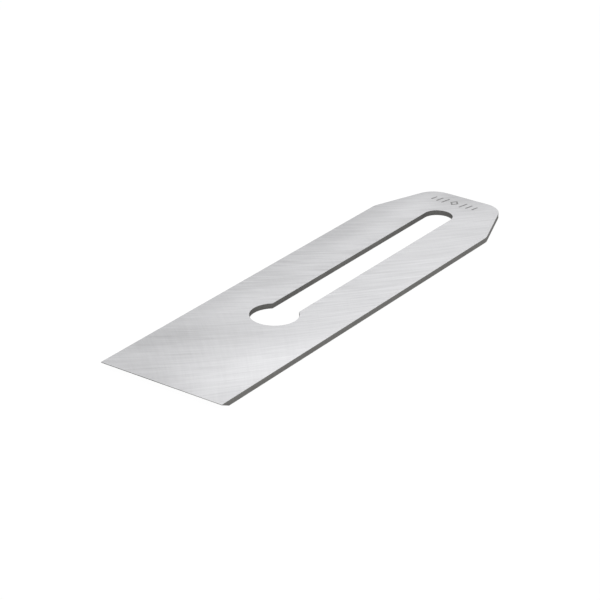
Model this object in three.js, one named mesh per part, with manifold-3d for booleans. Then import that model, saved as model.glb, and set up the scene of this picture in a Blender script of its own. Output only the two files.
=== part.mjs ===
// Plane iron: the flat steel cutter of a 2 in bench plane, lying on its bevel side.
//
// +X runs across the width, +Y from the cutting edge to the crown, and +Z out of the
// flat back face. The origin is the bottom centre of the iron's box. The iron is one
// piece of steel: a plate with a keyhole slot, clipped corners and a ground bevel.

import * as THREE from 'three';
import { mergeVertices } from 'three/addons/utils/BufferGeometryUtils.js';
import Module from 'manifold-3d';

// Driving dimensions, in millimetres and degrees.
const width = 50.8;
const length = 190.5;
const thickness = 2;

const bevelAngle = 25; // between the ground bevel and the back face
const edgeLand = 0.2; // steel left standing at the cutting edge

const shoulderDrop = 27.1; // from the crown back to where a clip leaves the side
const clipAngle = 20; // between a clip and the side
const shoulderRadius = 7;
const crownRadius = 9; // corner between a clip and the crown

const slotWidth = 11.4;
const slotBridge = 15.6; // steel between the slot's end and the crown
const keyholeDiameter = 17.6;
const keyholeSetback = 63.3; // from the cutting edge to the keyhole's centre
const throatRadius = 0.8; // corner between the keyhole and the slot

const arcSegments = 14; // half the segments in each arc
const cutMargin = 1; // how far the bevel's cutter stands clear of the plate

const manifold = await Module();
manifold.setup();

// Joins the path to the next side of an outline with an arc in the corner.
function roundCorner(path, before, corner, after, radius) {
  const arriving = corner.clone().sub(before).normalize();
  const leaving = after.clone().sub(corner).normalize();
  const turn = Math.atan2(arriving.cross(leaving), arriving.dot(leaving));
  const setback = radius * Math.tan(Math.abs(turn) / 2);
  const inward = new THREE.Vector2(-arriving.y, arriving.x).multiplyScalar(Math.sign(turn));
  const centre = corner.clone()
    .addScaledVector(arriving, -setback)
    .addScaledVector(inward, radius);
  const startAngle = inward.negate().angle();
  path.absarc(centre.x, centre.y, radius, startAngle, startAngle + turn, turn < 0);
}

// The iron's outline, counter-clockwise from the left end of the cutting edge.
function plateOutline() {
  const side = width / 2;
  const shoulderY = length - shoulderDrop;
  const crownX = side - shoulderDrop * Math.tan(THREE.MathUtils.degToRad(clipAngle));
  const edgeRight = new THREE.Vector2(side, 0);
  const shoulderRight = new THREE.Vector2(side, shoulderY);
  const crownRight = new THREE.Vector2(crownX, length);
  const crownLeft = new THREE.Vector2(-crownX, length);
  const shoulderLeft = new THREE.Vector2(-side, shoulderY);
  const edgeLeft = new THREE.Vector2(-side, 0);

  const outline = new THREE.Shape();
  outline.moveTo(edgeLeft.x, edgeLeft.y);
  outline.lineTo(edgeRight.x, edgeRight.y);
  roundCorner(outline, edgeRight, shoulderRight, crownRight, shoulderRadius);
  roundCorner(outline, shoulderRight, crownRight, crownLeft, crownRadius);
  roundCorner(outline, crownRight, crownLeft, shoulderLeft, crownRadius);
  roundCorner(outline, crownLeft, shoulderLeft, edgeLeft, shoulderRadius);
  outline.closePath();
  return outline;
}

// The slot with its round end, opening through two rounded throat corners into the
// keyhole. Clockwise from the throat on the left.
function keyholeSlot() {
  const slotRadius = slotWidth / 2;
  const keyholeRadius = keyholeDiameter / 2;
  const slotEndY = length - slotBridge - slotRadius;

  // A throat arc touches the slot's side and the keyhole from within the steel.
  const throatX = slotRadius + throatRadius;
  const throatRise = Math.sqrt((keyholeRadius + throatRadius) ** 2 - throatX ** 2);
  const throatY = keyholeSetback + throatRise;
  const mouthAngle = Math.atan2(throatRise, throatX);

  const slot = new THREE.Path();
  slot.absarc(0, slotEndY, slotRadius, Math.PI, 0, true);
  slot.absarc(throatX, throatY, throatRadius, Math.PI, Math.PI + mouthAngle, false);
  slot.absarc(0, keyholeSetback, keyholeRadius, mouthAngle, Math.PI - mouthAngle, true);
  slot.absarc(-throatX, throatY, throatRadius, -mouthAngle, 0, false);
  slot.closePath();
  return slot;
}

// A wedge across the full width, whose upper face is the plane of the bevel.
function bevelCutter() {
  const slope = Math.tan(THREE.MathUtils.degToRad(bevelAngle));
  const heelY = (thickness - edgeLand) / slope;
  const profile = new THREE.Shape();
  profile.moveTo(-cutMargin, -cutMargin);
  profile.lineTo(heelY + cutMargin / slope, -cutMargin);
  profile.lineTo(-cutMargin, (heelY + cutMargin) * slope);
  profile.closePath();
  const cutterWidth = width + 2 * cutMargin;
  const cutter = new THREE.ExtrudeGeometry(profile, { depth: cutterWidth, bevelEnabled: false });
  cutter.translate(0, 0, -cutterWidth / 2);
  cutter.rotateY(Math.PI / 2);
  cutter.rotateX(Math.PI / 2);
  return cutter;
}

function toSolid(geometry) {
  const shape = geometry.clone();
  shape.deleteAttribute('normal');
  shape.deleteAttribute('uv');
  const merged = mergeVertices(shape);
  return new manifold.Manifold(new manifold.Mesh({
    numProp: 3,
    vertProperties: merged.attributes.position.array,
    triVerts: new Uint32Array(merged.index.array),
  }));
}

function toGeometry(solid) {
  const mesh = solid.getMesh();
  const geometry = new THREE.BufferGeometry();
  geometry.setAttribute('position', new THREE.BufferAttribute(mesh.vertProperties, 3));
  geometry.setIndex(new THREE.BufferAttribute(mesh.triVerts, 1));
  geometry.computeVertexNormals();
  return geometry;
}

function planeIron() {
  const outline = plateOutline();
  outline.holes.push(keyholeSlot());
  const plate = new THREE.ExtrudeGeometry(outline, {
    depth: thickness,
    curveSegments: arcSegments,
    bevelEnabled: false,
  });
  const ground = toSolid(plate).subtract(toSolid(bevelCutter()));
  const steel = new THREE.MeshStandardMaterial({
    color: 0xcbccce,
    roughness: 0.34,
    metalness: 0.95,
  });
  const iron = new THREE.Mesh(toGeometry(ground), steel);
  iron.name = 'plane_iron';
  iron.position.set(0, -length / 2, 0);
  return iron;
}

const object = new THREE.Group();
object.add(planeIron());

export default object;
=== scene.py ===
"""The looks of a plane iron: a finely rounded plate of ground steel in place of its plain
CAD node, on a pale floor in soft studio light. +X is across the width, +Y runs from the
cutting edge to the crown, and +Z comes out of the flat back face. The sizes are in metres,
and in millimetres within the finishes."""

import math

import bpy
import numpy as np
from mathutils import Matrix, Vector, noise
from mathutils.geometry import delaunay_2d_cdt


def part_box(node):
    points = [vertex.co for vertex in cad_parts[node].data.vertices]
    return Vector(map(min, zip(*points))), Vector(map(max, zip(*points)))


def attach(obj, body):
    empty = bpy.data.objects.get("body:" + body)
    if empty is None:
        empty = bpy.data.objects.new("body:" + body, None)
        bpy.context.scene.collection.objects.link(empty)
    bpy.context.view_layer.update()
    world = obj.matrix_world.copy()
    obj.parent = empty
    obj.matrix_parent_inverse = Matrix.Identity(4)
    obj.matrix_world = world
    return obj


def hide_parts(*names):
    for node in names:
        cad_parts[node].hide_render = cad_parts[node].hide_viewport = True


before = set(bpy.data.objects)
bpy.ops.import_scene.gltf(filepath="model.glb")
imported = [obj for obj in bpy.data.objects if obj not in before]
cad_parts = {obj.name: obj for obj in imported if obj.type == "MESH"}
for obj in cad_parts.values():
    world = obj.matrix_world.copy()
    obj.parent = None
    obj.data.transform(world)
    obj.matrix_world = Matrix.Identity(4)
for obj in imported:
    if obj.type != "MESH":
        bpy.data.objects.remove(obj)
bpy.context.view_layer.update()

NODE = "plane_iron"
BOX_LOW, BOX_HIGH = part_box(NODE)
WIDTH, LENGTH, THICKNESS = BOX_HIGH - BOX_LOW
EDGE_Y = BOX_LOW.y
CROWN_Y = BOX_HIGH.y
TOP_Z = BOX_HIGH.z

# The outline, the keyhole slot and the bevel.
SHOULDER_DROP = 0.0271
CLIP_ANGLE = math.radians(20)
SHOULDER_RADIUS = 0.007
CROWN_RADIUS = 0.009
EDGE_CORNER_RADIUS = 0.0002
SLOT_RADIUS = 0.0057
SLOT_BRIDGE = 0.0156
KEYHOLE_RADIUS = 0.0088
KEYHOLE_SETBACK = 0.0633
THROAT_RADIUS = 0.0008
BEVEL_SLOPE = math.tan(math.radians(25))
EDGE_LAND = 0.0002
HEEL_Y = EDGE_Y + (THICKNESS - EDGE_LAND) / BEVEL_SLOPE

# The edges and the sheared walls.
TOP_BREAK = 0.00004
BOTTOM_BREAK = 0.00005
BREAK_STEPS = 5
GROUND_STEPS = 1  # how many steps of the top break carry the face's own finish
WALL_STEPS = 9
SHEAR_BAND = 0.36  # the burnished band's share of the thickness
SHEAR_WANDER = 0.07
FRACTURE_STEP = 0.16  # the share over which the wall falls back below the band
FRACTURE_RECESS = 0.00003
FRACTURE_ROUGHNESS = 0.000012

# The mesh.
WALL_SPACING = 0.0005
FACE_SPACING = 0.0034
RIM_CLEARANCE = 0.45 * FACE_SPACING
HEEL_TOLERANCE = 1e-7
MERGE_DISTANCE = 1e-9
LEAST_ARC_STEPS = 8

# The etched mark near the crown: a lozenge between slanting bars.
MARK_X = -0.0016
MARK_SETBACK = 0.0068
MARK_HEIGHT = 0.0046
MARK_STROKE = 0.0007
MARK_FIRST_BAR = 0.0040
MARK_PITCH = 0.0026
MARK_BARS = 3
MARK_SLANT = 0.22
BAR_END_STEPS = 8
BAR_TAPER = 0.15  # how much shorter each bar is than the one inside it, as a share
LOZENGE_STEPS = 10
LOZENGE_SQUASH = 0.8
LOZENGE_WEIGHT = 1.5  # its strokes against the bars' strokes
ETCH_DEPTH = 0.00004
ETCH_SLOPE = 0.00007

# The flat map that the finishes are baked through.
MAP_MARGIN = 0.001
MAP_SIZE = LENGTH + 2 * MAP_MARGIN
STRIP_STRETCH = 4
STRIP_HEIGHT = 0.0025 * STRIP_STRETCH

# The stage. The surround fades from its horizon level to its overhead level between the
# low and the high direction, which are heights on a sphere of radius 1.
FLOOR_REACH = 3.0
FLOOR_GAP = 0.00002
FLOOR_SHADE = 0.06
FLOOR_GLOW = 0.96
SOFTBOX_PLACE = Vector((0.020, 0.058, 0.250))
SOFTBOX_SIZE = (0.664, 0.608)
SOFTBOX_POWER = 1.015
WORLD_LOW = 0.15
WORLD_HIGH = 0.85
WORLD_HORIZON = 0.886
WORLD_OVERHEAD = 0.45
CAMERA_AIM = Vector((0.00047, -0.01729, TOP_Z))
CAMERA_AZIMUTH = math.radians(35.471)
CAMERA_ELEVATION = math.radians(25.741)
CAMERA_ROLL = math.radians(0.335)
CAMERA_DISTANCE = 0.7889
CAMERA_LENS = 134.1

# The finishes, in the order that the iron carries them. The slot's walls carry the sheared
# finish with painted shade and painted light.
GROUND, BEVEL, SHEARED, SLOT_PAINTED_LIGHT_AND_SHADE, ETCHED = range(5)


# ---- The outline loops. The steel is always on the left of the line. ----


class Loop:
    """A closed line round the steel, with the direction that its wall faces."""

    def __init__(self):
        self.points = []
        self.facing = []

    def line(self, start, end):
        """A straight wall, up to but without its last point."""
        along = (end - start).normalized()
        right = Vector((along.y, -along.x))
        steps = max(1, round((end - start).length / WALL_SPACING))
        for i in range(steps):
            self.points.append(start.lerp(end, i / steps))
            self.facing.append(right)

    def arc(self, centre, radius, start, turn):
        """A round wall, up to but without its last point."""
        steps = max(LEAST_ARC_STEPS, round(abs(turn) * radius / WALL_SPACING))
        for i in range(steps):
            angle = start + turn * i / steps
            radial = Vector((math.cos(angle), math.sin(angle)))
            self.points.append(centre + radial * radius)
            self.facing.append(radial * math.copysign(1, turn))


def corner_arc(before, corner, after, radius):
    """(centre, start angle, turn, first point, last point) of a rounded corner."""
    arriving = (corner - before).normalized()
    leaving = (after - corner).normalized()
    turn = math.atan2(arriving.cross(leaving), arriving.dot(leaving))
    setback = radius * math.tan(abs(turn) / 2)
    inward = Vector((-arriving.y, arriving.x)) * math.copysign(1, turn)
    first = corner - arriving * setback
    centre = first + inward * radius
    start = math.atan2(-inward.y, -inward.x)
    return centre, start, turn, first, corner + leaving * setback


def outer_loop():
    """The outline, counter-clockwise, with a point on each side at the bevel's heel."""
    side = WIDTH / 2
    shoulder_y = CROWN_Y - SHOULDER_DROP
    crown_x = side - SHOULDER_DROP * math.tan(CLIP_ANGLE)
    corners = [
        (Vector((-side, EDGE_Y)), EDGE_CORNER_RADIUS),
        (Vector((side, EDGE_Y)), EDGE_CORNER_RADIUS),
        (Vector((side, shoulder_y)), SHOULDER_RADIUS),
        (Vector((crown_x, CROWN_Y)), CROWN_RADIUS),
        (Vector((-crown_x, CROWN_Y)), CROWN_RADIUS),
        (Vector((-side, shoulder_y)), SHOULDER_RADIUS),
    ]
    arcs = []
    for i, (corner, radius) in enumerate(corners):
        before = corners[i - 1][0]
        after = corners[(i + 1) % len(corners)][0]
        arcs.append((radius, *corner_arc(before, corner, after, radius)))
    loop = Loop()
    for i, (radius, centre, start, turn, _, last) in enumerate(arcs):
        loop.arc(centre, radius, start, turn)
        following = arcs[(i + 1) % len(arcs)][4]
        if min(last.y, following.y) < HEEL_Y < max(last.y, following.y):
            heel = Vector((last.x, HEEL_Y))
            loop.line(last, heel)
            loop.line(heel, following)
        else:
            loop.line(last, following)
    return loop


def slot_loop():
    """The keyhole slot, clockwise."""
    slot_end_y = CROWN_Y - SLOT_BRIDGE - SLOT_RADIUS
    keyhole_y = EDGE_Y + KEYHOLE_SETBACK
    throat_x = SLOT_RADIUS + THROAT_RADIUS
    throat_rise = math.sqrt((KEYHOLE_RADIUS + THROAT_RADIUS) ** 2 - throat_x**2)
    throat_y = keyhole_y + throat_rise
    mouth = math.atan2(throat_rise, throat_x)
    loop = Loop()
    loop.arc(Vector((0, slot_end_y)), SLOT_RADIUS, math.pi, -math.pi)
    loop.line(Vector((SLOT_RADIUS, slot_end_y)), Vector((SLOT_RADIUS, throat_y)))
    loop.arc(Vector((throat_x, throat_y)), THROAT_RADIUS, math.pi, mouth)
    loop.arc(Vector((0, keyhole_y)), KEYHOLE_RADIUS, mouth, -math.pi - 2 * mouth)
    loop.arc(Vector((-throat_x, throat_y)), THROAT_RADIUS, -mouth, mouth)
    loop.line(Vector((-SLOT_RADIUS, throat_y)), Vector((-SLOT_RADIUS, slot_end_y)))
    return loop


# ---- The mesh: vertices, faces, and each face corner's place on the flat map. ----


class Plate:
    """Gathers the iron's vertices and faces."""

    def __init__(self):
        self.vertices = []
        self.faces = []
        self.materials = []
        self.smooth = []
        self.uv = []

    def add_vertex(self, x, y, z):
        self.vertices.append((x, y, z))
        return len(self.vertices) - 1

    def add_face(self, corners, uv, material, smooth=False):
        self.faces.append(corners)
        self.uv.extend(uv)
        self.materials.append(material)
        self.smooth.append(smooth)


def underside(y):
    """Height of the underside: flat behind the heel, and rising along the bevel."""
    return max(0.0, (HEEL_Y - y) * BEVEL_SLOPE)


def wall_profile():
    """(share of the thickness down from the top, inset) down the wall of a full plate."""
    profile = []
    for i in range(BREAK_STEPS + 1):
        angle = math.pi / 2 * i / BREAK_STEPS
        drop = TOP_BREAK * (1 - math.cos(angle))
        profile.append((drop / THICKNESS, TOP_BREAK * (1 - math.sin(angle))))
    first = TOP_BREAK / THICKNESS
    last = 1 - BOTTOM_BREAK / THICKNESS
    for i in range(1, WALL_STEPS):
        profile.append((first + (last - first) * i / WALL_STEPS, 0.0))
    for i in range(BREAK_STEPS + 1):
        angle = math.pi / 2 * i / BREAK_STEPS
        rise = BOTTOM_BREAK * (1 - math.sin(angle))
        profile.append((1 - rise / THICKNESS, BOTTOM_BREAK * (1 - math.cos(angle))))
    return profile


def fracture(along, share, point):
    """How far the sheared wall falls back: none in the burnished band at the top, and a
    rough step below it. The band's edge wanders in waves about 5 mm long, and the tears
    are about 0.5 mm wide."""
    wave = noise.noise(Vector((along * 220, 3.1, point.x * 40)))
    start = SHEAR_BAND + SHEAR_WANDER * wave
    depth = min(1.0, max(0.0, (share - start) / FRACTURE_STEP))
    depth = depth * depth * (3 - 2 * depth)
    tear = noise.noise(Vector((along * 1900, share * 2.5, 8.4)))
    fade = min(1.0, max(0.0, (0.95 - share) / 0.1))
    return depth * fade * (FRACTURE_RECESS + FRACTURE_ROUGHNESS * tear)


def add_walls(plate, loop, strips, wall_material):
    """Adds a loop's wall, and returns its highest and lowest rings of vertices."""
    profile = wall_profile()
    count = len(loop.points)
    lengths = [(loop.points[(i + 1) % count] - loop.points[i]).length for i in range(count)]
    along = np.concatenate([[0], np.cumsum(lengths)])
    rings = []
    for share, inset in profile:
        ring = []
        for i, (point, facing) in enumerate(zip(loop.points, loop.facing)):
            local = TOP_Z - underside(point.y)
            scale = local / THICKNESS
            back = (inset + fracture(along[i], share, point)) * scale
            place = point - facing * back
            z = TOP_Z - share * local
            if share >= 1:
                z = underside(place.y)
            ring.append(plate.add_vertex(place.x, place.y, z))
        rings.append(ring)
    steps_down = [0.0]
    for (share, inset), (next_share, next_inset) in zip(profile, profile[1:]):
        step = math.hypot((next_share - share) * THICKNESS, next_inset - inset)
        steps_down.append(steps_down[-1] + step)
    for i in range(count):
        j = (i + 1) % count
        for k in range(len(rings) - 1):
            uv = [
                strips.place(along[i], steps_down[k], along[i]),
                strips.place(along[i], steps_down[k + 1], along[i]),
                strips.place(along[i + 1], steps_down[k + 1], along[i]),
                strips.place(along[i + 1], steps_down[k], along[i]),
            ]
            corners = (rings[k][i], rings[k + 1][i], rings[k + 1][j], rings[k][j])
            material = GROUND if k < GROUND_STEPS else wall_material
            plate.add_face(corners, uv, material, smooth=True)
    strips.close(along[-1])
    return rings[0], rings[-1]


def inside(points, loops):
    """For each point, whether it is within an odd number of the closed loops."""
    x, y = np.array(points, float).T
    odd = np.zeros(len(x), bool)
    for loop in loops:
        a = np.array(loop, float)
        b = np.roll(a, -1, axis=0)
        for (ax, ay), (bx, by) in zip(a, b):
            if ay == by:
                continue
            crosses = ((ay > y) != (by > y)) & (x < (bx - ax) * (y - ay) / (by - ay) + ax)
            odd ^= crosses
    return odd


def face_grid(loops, keep_out):
    """Staggered points across a face, clear of its loops, so that its triangles are even."""
    grid = []
    row_step = FACE_SPACING * math.sqrt(3) / 2
    rows = int(LENGTH / row_step)
    columns = int(WIDTH / FACE_SPACING) + 2
    for row in range(1, rows):
        for column in range(-columns, columns + 1):
            x = (column + 0.5 * (row % 2)) * FACE_SPACING
            grid.append((x, EDGE_Y + row * row_step))
    grid = np.array(grid)
    grid = grid[inside(grid, loops)]
    rim = np.concatenate([np.array(loop, float) for loop in loops] + keep_out)
    gaps = np.linalg.norm(grid[:, None, :] - rim[None, :, :], axis=2).min(axis=1)
    return grid[gaps > RIM_CLEARANCE]


def triangulate(points, chains):
    """Triangles of a set of points that keep every chain's segments as edges."""
    edges = []
    for chain, closed in chains:
        edges.extend(zip(chain, chain[1:]))
        if closed:
            edges.append((chain[-1], chain[0]))
    flat = [Vector((float(x), float(y))) for x, y in points]
    _, _, triangles, sources, _, _ = delaunay_2d_cdt(flat, edges, [], 0, MERGE_DISTANCE)
    return [[sources[corner][0] for corner in triangle] for triangle in triangles]


def flat_of(plate, ring):
    """A ring of vertices as points in plan."""
    return [plate.vertices[i][:2] for i in ring]


def add_top(plate, rings, marks):
    """Adds the flat back face with its etched mark."""
    loops = [flat_of(plate, ring) for ring in rings]
    ids = [i for ring in rings for i in ring]
    chains = []
    start = 0
    for ring in rings:
        chains.append((list(range(start, start + len(ring))), True))
        start += len(ring)
    mark_rims = []
    for outline, depth, is_rim in marks:
        first = len(ids)
        for x, y in outline:
            ids.append(plate.add_vertex(x, y, TOP_Z - depth))
        chains.append((list(range(first, len(ids))), True))
        if is_rim:
            mark_rims.append(outline)
    keep_out = [np.array(outline, float) for outline, _, _ in marks]
    for x, y in face_grid(loops, keep_out):
        ids.append(plate.add_vertex(x, y, TOP_Z))
    points = [plate.vertices[i][:2] for i in ids]
    triangles = triangulate(points, chains)
    centres = [np.mean([points[c] for c in triangle], axis=0) for triangle in triangles]
    in_steel = inside(centres, loops)
    in_mark = inside(centres, mark_rims)
    for triangle, keep, etched in zip(triangles, in_steel, in_mark):
        if keep:
            uv = [top_place(*points[c]) for c in triangle]
            plate.add_face([ids[c] for c in triangle], uv, ETCHED if etched else GROUND)


def add_bottom(plate, rings):
    """Adds the underside, creased along the bevel's heel."""
    loops = [flat_of(plate, ring) for ring in rings]
    ids = [i for ring in rings for i in ring]
    chains = []
    start = 0
    for ring in rings:
        chains.append((list(range(start, start + len(ring))), True))
        start += len(ring)
    on_heel = [k for k, i in enumerate(ids) if abs(plate.vertices[i][1] - HEEL_Y) < HEEL_TOLERANCE]
    left, right = sorted(on_heel, key=lambda k: plate.vertices[ids[k]][0])
    heel = [left]
    low_x, high_x = plate.vertices[ids[left]][0], plate.vertices[ids[right]][0]
    steps = round((high_x - low_x) / FACE_SPACING)
    for i in range(1, steps):
        heel.append(len(ids))
        ids.append(plate.add_vertex(low_x + (high_x - low_x) * i / steps, HEEL_Y, 0.0))
    heel.append(right)
    chains.append((heel, False))
    heel_points = np.array([plate.vertices[ids[k]][:2] for k in heel])
    for x, y in face_grid(loops, [heel_points]):
        ids.append(plate.add_vertex(x, y, underside(y)))
    points = [plate.vertices[i][:2] for i in ids]
    triangles = triangulate(points, chains)
    centres = [np.mean([points[c] for c in triangle], axis=0) for triangle in triangles]
    for triangle, keep, centre in zip(triangles, inside(centres, loops), centres):
        if keep:
            turned = triangle[::-1]
            uv = [bottom_place(*points[c]) for c in turned]
            material = BEVEL if centre[1] < HEEL_Y else GROUND
            plate.add_face([ids[c] for c in turned], uv, material)


# ---- The etched mark's outlines: (points, depth, whether it is a rim at face level). ----


def bar_outline(x, y, height, radius):
    """A slanting bar with round ends."""
    half = height / 2 - MARK_STROKE / 2
    lean = math.atan(MARK_SLANT)
    outline = []
    for end in (1, -1):
        centre_x = x + end * half * MARK_SLANT
        centre_y = y + end * half
        for i in range(BAR_END_STEPS + 1):
            angle = math.pi * i / BAR_END_STEPS - lean + (0 if end > 0 else math.pi)
            outline.append((
                centre_x + radius * math.cos(angle),
                centre_y + radius * math.sin(angle),
            ))
    return outline


def lozenge_outline(x, y, half_height, half_width):
    """A lozenge that stands on its tip."""
    tips = [(half_width, 0), (0, half_height), (-half_width, 0), (0, -half_height)]
    outline = []
    for (ax, ay), (bx, by) in zip(tips, tips[1:] + tips[:1]):
        for i in range(LOZENGE_STEPS):
            share = i / LOZENGE_STEPS
            outline.append((x + ax + (bx - ax) * share, y + ay + (by - ay) * share))
    return outline


def mark_outlines():
    """Each shape's rim at face level and its floor within, the lozenge as a ring."""
    y = CROWN_Y - MARK_SETBACK
    rims = []
    for side in (1, -1):
        for i in range(MARK_BARS):
            bar_x = MARK_X + side * (MARK_FIRST_BAR + MARK_PITCH * i)
            height = MARK_HEIGHT * (1 - BAR_TAPER * i)
            rims.append((bar_outline(bar_x, y, height, MARK_STROKE / 2), 0.0, True))
            floor_radius = MARK_STROKE / 2 - ETCH_SLOPE
            rims.append((bar_outline(bar_x, y, height, floor_radius), ETCH_DEPTH, False))
    half = MARK_HEIGHT / 2
    stroke = MARK_STROKE * LOZENGE_WEIGHT
    slope = ETCH_SLOPE * LOZENGE_WEIGHT
    for shrink, depth, is_rim in (
        (0.0, 0.0, True),
        (slope, ETCH_DEPTH, False),
        (stroke - slope, ETCH_DEPTH, False),
        (stroke, 0.0, True),
    ):
        lozenge = lozenge_outline(MARK_X, y, half - shrink, (half - shrink) * LOZENGE_SQUASH)
        rims.append((lozenge, depth, is_rim))
    return rims


# ---- The flat map: the two faces side by side, and the walls in rows above them. ----


def top_place(x, y):
    """The place of a point of the back face, which lies first on the map."""
    u = (y - EDGE_Y + MAP_MARGIN) / MAP_SIZE
    v = (WIDTH / 2 - x + MAP_MARGIN) / MAP_SIZE
    return u, v


def bottom_place(x, y):
    """The place of a point of the underside, which lies beside the back face."""
    u = (y - EDGE_Y + MAP_MARGIN) / MAP_SIZE
    v = (WIDTH / 2 + x + 2 * MAP_MARGIN + WIDTH) / MAP_SIZE
    return u, v


class Strips:
    """Lays the walls out in rows above the two faces, a new row where one is full."""

    def __init__(self):
        self.used = 0.0
        self.base = 2 * WIDTH + 4 * MAP_MARGIN

    def place(self, along, down, owner):
        """The place of a wall point. owner is the start of its face, which picks the row."""
        row = int((self.used + owner) / LENGTH)
        u = (self.used + along - row * LENGTH + MAP_MARGIN) / MAP_SIZE
        v = (self.base + row * (STRIP_HEIGHT + MAP_MARGIN) + down * STRIP_STRETCH) / MAP_SIZE
        return u, v

    def close(self, length):
        """Starts the next loop on a new row."""
        self.used = (int((self.used + length) / LENGTH) + 1) * LENGTH


def make_iron():
    """The iron as one object, with its flat map and a material number on every face."""
    plate = Plate()
    strips = Strips()
    outer_top, outer_bottom = add_walls(plate, outer_loop(), strips, SHEARED)
    # The slot's walls: the sheared finish, darker with painted shade and lighter mid-slot with
    # painted light.
    slot_top, slot_bottom = add_walls(plate, slot_loop(), strips, SLOT_PAINTED_LIGHT_AND_SHADE)
    add_top(plate, [outer_top, slot_top], mark_outlines())
    add_bottom(plate, [outer_bottom, slot_bottom])
    mesh = bpy.data.meshes.new("iron")
    mesh.from_pydata(plate.vertices, [], plate.faces)
    mesh.polygons.foreach_set("material_index", plate.materials)
    mesh.polygons.foreach_set("use_smooth", plate.smooth)
    layer = mesh.uv_layers.new(name="OFBake")
    layer.data.foreach_set("uv", np.array(plate.uv, np.float32).ravel())
    mesh.update()
    iron = bpy.data.objects.new("iron", mesh)
    bpy.context.scene.collection.objects.link(iron)
    return iron


# ---- The finishes. ----


class Finish:
    """A material with short calls for the nodes that it is made of."""

    def __init__(self, name):
        self.material = bpy.data.materials.new(name)
        self.material.use_nodes = True
        self.tree = self.material.node_tree
        self.shader = self.tree.nodes["Principled BSDF"]
        coordinates = self.tree.nodes.new("ShaderNodeTexCoord")
        to_mm = self.tree.nodes.new("ShaderNodeVectorMath")
        to_mm.operation = "SCALE"
        to_mm.inputs["Scale"].default_value = 1000
        self.feed(to_mm.inputs[0], coordinates.outputs["Object"])
        parts = self.tree.nodes.new("ShaderNodeSeparateXYZ")
        self.feed(parts.inputs[0], to_mm.outputs[0])
        self.place = to_mm.outputs[0]
        self.x, self.y, self.z = parts.outputs

    def feed(self, socket, value):
        """Links a socket into another, or sets its plain value."""
        if isinstance(value, bpy.types.NodeSocket):
            self.tree.links.new(value, socket)
        else:
            socket.default_value = value

    def math(self, operation, *values, clamp=False):
        node = self.tree.nodes.new("ShaderNodeMath")
        node.operation = operation
        node.use_clamp = clamp
        for socket, value in zip(node.inputs, values):
            self.feed(socket, value)
        return node.outputs[0]

    def total(self, *terms):
        """The sum of (value, weight) terms."""
        result = 0.0
        for value, weight in terms:
            result = self.math("MULTIPLY_ADD", value, weight, result)
        return result

    def vector(self, x, y, z):
        node = self.tree.nodes.new("ShaderNodeCombineXYZ")
        for socket, value in zip(node.inputs, (x, y, z)):
            self.feed(socket, value)
        return node.outputs[0]

    def noise(self, place, scale=1.0, detail=2.0, roughness=0.5):
        """Noise that swings either side of zero."""
        node = self.tree.nodes.new("ShaderNodeTexNoise")
        self.feed(node.inputs["Vector"], place)
        node.inputs["Scale"].default_value = scale
        node.inputs["Detail"].default_value = detail
        node.inputs["Roughness"].default_value = roughness
        return self.math("SUBTRACT", node.outputs["Fac"], 0.5)

    def lines(self, across, along, seed, pitch, length, detail=2.0):
        """Noise drawn out into lines, with other lines on each face of the plate. pitch and
        length are in millimetres."""
        side = self.math("MULTIPLY_ADD", self.z, 3.0, seed)
        place = self.vector(
            self.math("DIVIDE", across, pitch),
            self.math("DIVIDE", along, length),
            side,
        )
        return self.noise(place, detail=detail)

    def swell(self, value, centre, reach):
        """1 where the value is at the centre, and falling smoothly to 0 at the reach."""
        node = self.tree.nodes.new("ShaderNodeMapRange")
        node.interpolation_type = "SMOOTHSTEP"
        away = self.math("ABSOLUTE", self.math("SUBTRACT", value, centre))
        self.feed(node.inputs["Value"], away)
        node.inputs["From Min"].default_value = reach
        node.inputs["From Max"].default_value = 0
        return node.outputs[0]

    def patch(self, x, x_reach, along, centre, reach):
        """A soft patch: 1 at a place across the width and along another coordinate."""
        across = self.swell(self.x, x, x_reach)
        return self.math("MULTIPLY", across, self.swell(along, centre, reach))

    def grey(self, level, tint):
        """A colour of that level, a socket, times the tint's red, green and blue."""
        node = self.tree.nodes.new("ShaderNodeCombineColor")
        for socket, share in zip(node.inputs, tint):
            self.feed(socket, self.math("MULTIPLY", level, share))
        return node.outputs[0]

    def bump(self, height_mm):
        """Raises the surface's look by a height in millimetres."""
        node = self.tree.nodes.new("ShaderNodeBump")
        node.inputs["Strength"].default_value = 1.0
        node.inputs["Distance"].default_value = 0.001
        self.feed(node.inputs["Height"], height_mm)
        self.feed(self.shader.inputs["Normal"], node.outputs[0])

    def surface(self, colour, roughness):
        self.feed(self.shader.inputs["Base Color"], colour)
        self.feed(self.shader.inputs["Roughness"], roughness)
        self.shader.inputs["Metallic"].default_value = 1.0


# The grinding wheel's radius and the place of its axle across the width, in millimetres.
WHEEL_RADIUS = 250
WHEEL_X = -177

# Painted light and shade on the ground face, in millimetres: soft lighter and darker patches in
# place of the steel's reflections. Each has its place across the width and its reach either side,
# then its place and reach along the iron, and its change of level.
PAINTED_FACE_REFLECTIONS = (
    (-12, 8, 95, 140, 0.05),
    (-28, 14, 95, 140, -0.07),
    (24, 22, 95, 140, -0.03),
    (0, 22, -96, 16, -0.07),
    (-4, 26, 100, 26, -0.11),
)

# Painted light and shade laid along the wheel's arcs: lighter and darker patches in place of the
# steel's reflections. Their second place is across the arcs.
PAINTED_ARC_REFLECTIONS = (
    (20, 30, 90, 34, 0.08),
    (-20, 26, 126, 14, -0.055),
    (-11, 18, 158, 30, 0.05),
)

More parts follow.
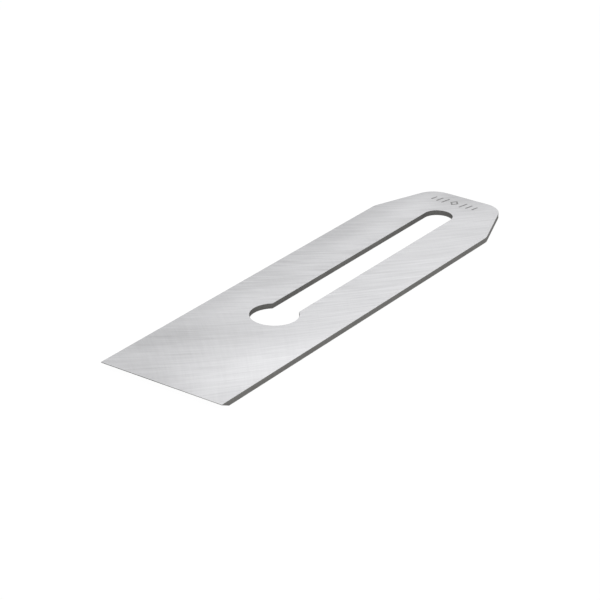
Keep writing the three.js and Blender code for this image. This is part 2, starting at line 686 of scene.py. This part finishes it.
# The sheared walls, in millimetres: where and how sharply the burnished band ends, the
# painted shade of a dark line along the cutting edge, darkest towards -X, and the painted
# light of the slot's lighter middle.
BAND_END = SHEAR_BAND * THICKNESS * 1000
BAND_SHARPNESS = 5.0
EDGE_SHADE_PLACE = -10
EDGE_SHADE_REACH = 38
EDGE_SHADE_DEPTH = 0.5
SLOT_LIGHT_PLACE = 25
SLOT_LIGHT_REACH = 75


def wheel_arcs(finish):
    """Coordinates that are constant along the arcs that a wide cup wheel leaves as the
    iron passes under its near side and its far side."""
    offset = finish.math("SUBTRACT", finish.x, WHEEL_X)
    square = finish.math("MULTIPLY", offset, offset)
    depth = finish.math("SQRT", finish.math("SUBTRACT", WHEEL_RADIUS**2, square))
    near = finish.math("ADD", finish.y, depth)
    far = finish.math("SUBTRACT", finish.y, depth)
    return near, far


def ground_steel():
    """Surface-ground steel: long shallow arcs, a fainter set crossing them, strongest at
    the cutting end, and soft clouds. Its lighter and darker patches and its gradient across
    the width, lighter towards +X, are painted light and shade in place of its reflections."""
    finish = Finish("ground_steel")
    near, far = wheel_arcs(finish)
    fine = finish.lines(near, finish.x, 1.7, 0.42, 14, detail=3)
    mid = finish.lines(near, finish.x, 5.2, 1.1, 12)
    band = finish.lines(near, finish.x, 9.9, 2.1, 13, detail=1)
    cross = finish.lines(far, finish.x, 14.3, 0.5, 10, detail=3)
    cross_band = finish.lines(far, finish.x, 21.6, 1.6, 11, detail=1)
    cloud = finish.noise(finish.place, scale=0.035, detail=1.5)
    middle = finish.swell(finish.y, 3, 45)
    cutting_end = finish.swell(finish.y, -75, 60)
    band = finish.math("MULTIPLY", band, finish.total((middle, 0.65), (1.0, 0.35)))
    cross_band = finish.math("MULTIPLY", cross_band, cutting_end)
    painted_reflections = []
    for along, places in ((finish.y, PAINTED_FACE_REFLECTIONS), (near, PAINTED_ARC_REFLECTIONS)):
        for x, x_reach, centre, reach, change in places:
            painted_reflections.append((finish.patch(x, x_reach, along, centre, reach), change))
    # The patches and the term in x are painted light and shade: lighter and darker patches, and a
    # gradient lighter towards +X, in place of the steel's reflections.
    level = finish.total(
        (fine, 0.08), (mid, 0.15), (band, 0.24), (cross, 0.04), (cross_band, 0.06),
        (cloud, 0.04), *painted_reflections, (finish.x, 0.0006), (1.0, 0.575),
    )
    rough = finish.total(
        (fine, 0.10), (band, 0.12), (cross, 0.03), (cloud, 0.06), (1.0, 0.32),
    )
    height = finish.total(
        (fine, 0.004), (mid, 0.010), (band, 0.03), (cross, 0.002), (cross_band, 0.012),
        (cloud, 0.3),
    )
    finish.surface(finish.grey(level, (1.0, 1.0, 1.02)), rough)
    finish.bump(height)
    return finish.material


def bevel_steel():
    """The bevel's own grind, with its lines running from heel to edge."""
    finish = Finish("bevel_steel")
    fine = finish.lines(finish.x, finish.y, 2.4, 0.3, 9, detail=3)
    band = finish.lines(finish.x, finish.y, 7.7, 1.8, 14, detail=1)
    level = finish.total((fine, 0.08), (band, 0.05), (1.0, 0.62))
    rough = finish.total((fine, 0.10), (band, 0.05), (1.0, 0.30))
    height = finish.total((fine, 0.006), (band, 0.008))
    finish.surface(finish.grey(level, (0.995, 1.0, 1.01)), rough)
    finish.bump(height)
    return finish.material


def sheared_steel(name="sheared_steel", shade=0.18, slot_light=0.0):
    """Dark sheared walls: a smoother burnished band above a torn, duller one, with painted
    shade along the cutting edge. The third argument is painted light: how much lighter the
    walls are halfway along the slot."""
    finish = Finish(name)
    drop = finish.math("SUBTRACT", TOP_Z * 1000, finish.z)
    wave = finish.noise(finish.vector(finish.x, finish.y, 0.0), scale=0.22)
    past_band = finish.math("SUBTRACT", finish.math("ADD", drop, wave), BAND_END)
    torn = finish.math("MULTIPLY", past_band, BAND_SHARPNESS, clamp=True)
    streak = finish.noise(
        finish.vector(
            finish.math("MULTIPLY", finish.x, 2.6),
            finish.math("MULTIPLY", finish.y, 2.6),
            finish.math("MULTIPLY", finish.z, 0.5),
        ),
        detail=3,
    )
    grain = finish.noise(finish.place, scale=7.0, detail=3, roughness=0.6)
    patch = finish.noise(finish.place, scale=0.16, detail=2)
    # Painted light: the walls lighter halfway along the slot.
    painted_slot_light = finish.swell(finish.y, SLOT_LIGHT_PLACE, SLOT_LIGHT_REACH)
    # Painted shade: a dark line along the cutting edge, darkest towards -X.
    painted_edge_shade = finish.patch(
        EDGE_SHADE_PLACE, EDGE_SHADE_REACH, finish.y, EDGE_Y * 1000, EDGE_SHADE_DEPTH
    )
    level = finish.total(
        (torn, 0.01), (streak, 0.08), (grain, 0.03), (patch, 0.05),
        (painted_slot_light, slot_light), (painted_edge_shade, -0.15), (1.0, shade),
    )
    rough = finish.total((torn, 0.12), (grain, 0.1), (1.0, 0.45))
    height = finish.total((streak, 0.02), (grain, finish.math("MULTIPLY", torn, 0.012)))
    finish.surface(finish.grey(level, (1.02, 1.0, 0.96)), rough)
    finish.shader.inputs["Specular Tint"].default_value = (0.55, 0.55, 0.55, 1)
    finish.bump(height)
    return finish.material


def slot_steel_painted_shade_and_light():
    """The walls of the slot: the sheared finish with painted shade, darker than the sides,
    and painted light halfway along the slot.
    """
    return sheared_steel("slot_steel_painted_shade_and_light", 0.118, slot_light=0.04)


def etched_steel():
    """The mark's dull, darkened floor."""
    finish = Finish("etched_steel")
    grain = finish.noise(finish.place, scale=6.0, detail=3, roughness=0.6)
    patch = finish.noise(finish.place, scale=0.8, detail=2)
    level = finish.total((grain, 0.06), (patch, 0.08), (1.0, 0.26))
    rough = finish.total((grain, 0.15), (1.0, 0.55))
    finish.surface(finish.grey(level, (1.0, 1.0, 1.0)), rough)
    finish.bump(finish.total((grain, 0.012)))
    return finish.material


# ---- The stage: floor, light and camera. ----


def make_floor():
    """A wide floor whose paleness is mostly its own glow, so that shadows stay faint."""
    z = BOX_LOW.z - FLOOR_GAP
    mesh = bpy.data.meshes.new("floor")
    quarters = ((-1, -1), (1, -1), (1, 1), (-1, 1))
    corners = [(x * FLOOR_REACH, y * FLOOR_REACH, z) for x, y in quarters]
    mesh.from_pydata(corners, [], [(0, 1, 2, 3)])
    material = bpy.data.materials.new("pale_floor")
    material.use_nodes = True
    shader = material.node_tree.nodes["Principled BSDF"]
    shader.inputs["Base Color"].default_value = (FLOOR_SHADE, FLOOR_SHADE, FLOOR_SHADE, 1)
    shader.inputs["Roughness"].default_value = 0.9
    shader.inputs["Specular IOR Level"].default_value = 0.0
    shader.inputs["Emission Color"].default_value = (1, 1, 1, 1)
    shader.inputs["Emission Strength"].default_value = FLOOR_GLOW
    mesh.materials.append(material)
    floor = bpy.data.objects.new("floor", mesh)
    bpy.context.scene.collection.objects.link(floor)
    return floor


def make_world():
    """Soft light from all round, brighter towards the horizon than overhead."""
    world = bpy.data.worlds.new("studio")
    world.use_nodes = True
    nodes, links = world.node_tree.nodes, world.node_tree.links
    coordinates = nodes.new("ShaderNodeTexCoord")
    parts = nodes.new("ShaderNodeSeparateXYZ")
    ramp = nodes.new("ShaderNodeMapRange")
    ramp.interpolation_type = "SMOOTHSTEP"
    ramp.inputs["From Min"].default_value = WORLD_LOW
    ramp.inputs["From Max"].default_value = WORLD_HIGH
    ramp.inputs["To Min"].default_value = WORLD_HORIZON
    ramp.inputs["To Max"].default_value = WORLD_OVERHEAD
    links.new(coordinates.outputs["Generated"], parts.inputs[0])
    links.new(parts.outputs["Z"], ramp.inputs["Value"])
    links.new(ramp.outputs[0], nodes["Background"].inputs["Strength"])
    nodes["Background"].inputs["Color"].default_value = (1, 1, 1, 1)
    bpy.context.scene.world = world


def make_softbox():
    """A wide, weak light overhead that faces the middle of the iron."""
    light = bpy.data.lights.new("softbox", "AREA")
    light.shape = "RECTANGLE"
    light.size, light.size_y = SOFTBOX_SIZE
    light.energy = SOFTBOX_POWER
    softbox = bpy.data.objects.new("softbox", light)
    softbox.location = SOFTBOX_PLACE
    softbox.rotation_euler = (-SOFTBOX_PLACE).to_track_quat("-Z", "Y").to_euler()
    softbox.visible_camera = False
    bpy.context.scene.collection.objects.link(softbox)


def make_camera():
    """A long lens on the front right, looking down on the iron. Azimuth 0 looks along +Y."""
    camera = bpy.data.cameras.new("camera")
    camera.lens = CAMERA_LENS
    camera.clip_start = 0.01
    camera_object = bpy.data.objects.new("camera", camera)
    turn = Matrix.Rotation(CAMERA_AZIMUTH, 4, "Z")
    tilt = Matrix.Rotation(math.pi / 2 - CAMERA_ELEVATION, 4, "X")
    roll = Matrix.Rotation(CAMERA_ROLL, 4, "Z")
    back = Matrix.Translation((0, 0, CAMERA_DISTANCE))
    camera_object.matrix_world = Matrix.Translation(CAMERA_AIM) @ turn @ tilt @ roll @ back
    bpy.context.scene.collection.objects.link(camera_object)
    bpy.context.scene.camera = camera_object


bpy.context.scene.view_settings.view_transform = "Standard"
make_camera()
make_world()
make_softbox()
make_floor()

iron = make_iron()
for make_finish in (ground_steel, bevel_steel, sheared_steel, slot_steel_painted_shade_and_light, etched_steel):
    iron.data.materials.append(make_finish())
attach(iron, "root")
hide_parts(NODE)
